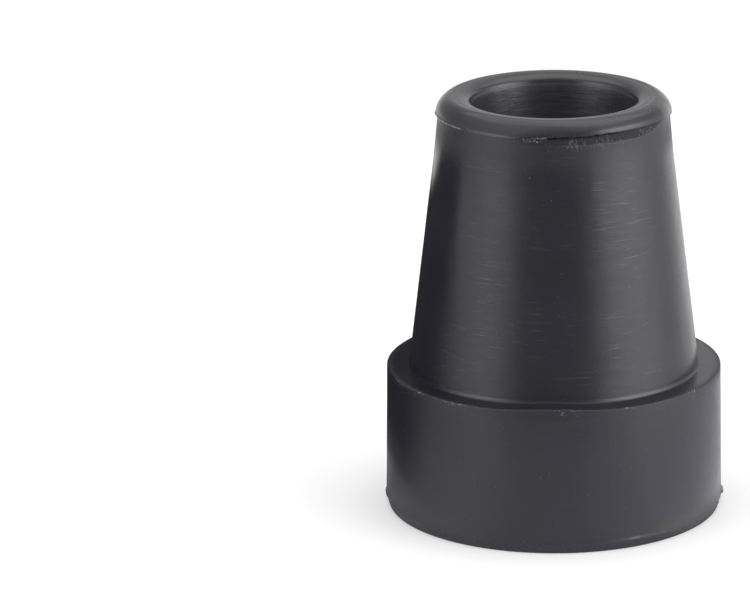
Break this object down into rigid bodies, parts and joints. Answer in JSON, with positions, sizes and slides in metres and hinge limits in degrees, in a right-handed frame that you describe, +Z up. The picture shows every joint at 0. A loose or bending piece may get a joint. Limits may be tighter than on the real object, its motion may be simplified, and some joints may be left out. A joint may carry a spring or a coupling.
{
  "type": "rubber cane tip",
  "caption": "Moulded black rubber tip that pushes onto the end of a cane or crutch, with a tapered neck, a rolled mouth, a blind socket and a ringed non-slip tread.",
  "frame": {"origin": "centre of the tread face, on the surface that the tip stands on", "axes": "+Z up along the tip's axis, out of the socket's mouth; X and Y are free because the tip is turned about Z"},
  "size_m": [0.0382, 0.0382, 0.0473],
  "materials": {
    "rubber": "satin"
  },
  "bodies": {
    "root": {"cane_tip": "rubber"}
  },
  "joints": []
}
